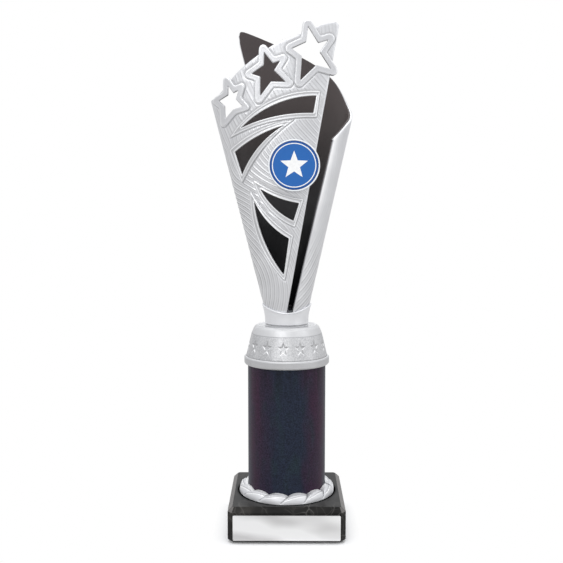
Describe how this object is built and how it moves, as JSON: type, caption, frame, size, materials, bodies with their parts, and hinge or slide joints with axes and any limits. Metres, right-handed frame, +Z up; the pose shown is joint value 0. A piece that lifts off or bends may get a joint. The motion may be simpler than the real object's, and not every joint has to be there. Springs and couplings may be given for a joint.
{
  "type": "column trophy",
  "caption": "Award trophy: square marble base, wrapped round column, plated cap and a flat two-petal cup with star cut-outs and a round badge.",
  "frame": {"origin": "centre of the underside, on the surface that the trophy stands on", "axes": "+Z up along the column and tie rod, -Y to the front (engraving plate and badge), +X to the viewer's right"},
  "size_m": [0.0771, 0.0637, 0.276],
  "materials": {
    "marble": "polished black with grey veins",
    "felt": "black felt",
    "tape_foam": "matte foam",
    "plate_aluminium": "satin, blank",
    "plated_plastic": "vacuum-metallised silver",
    "black_plastic": "plain",
    "column_film": "dark shimmering film",
    "liner_plastic": "gloss black",
    "white_plastic": "gloss white",
    "badge_blue": "printed gloss blue",
    "badge_ink": "white ink",
    "zinc_steel": "zinc plated"
  },
  "bodies": {
    "root": {"marble_base": "marble", "base_felt": "felt", "plate_tape": "tape_foam", "engraving_plate": "plate_aluminium", "laurel_ring": "plated_plastic", "column_tube": "black_plastic", "column_foil": "column_film", "lower_plug": "black_plastic", "upper_plug": "black_plastic", "column_cap": "plated_plastic", "cup_collar": "plated_plastic", "cup_front_petal": "plated_plastic", "cup_rear_petal": "plated_plastic", "cup_liner": "liner_plastic", "badge_bezel": "white_plastic", "badge_disc": "badge_blue", "badge_print": "badge_ink", "badge_pad": "tape_foam", "tie_rod": "zinc_steel", "hex_nuts": "zinc_steel", "base_washer": "zinc_steel", "lock_washer": "zinc_steel", "cup_washer": "zinc_steel"}
  },
  "joints": []
}
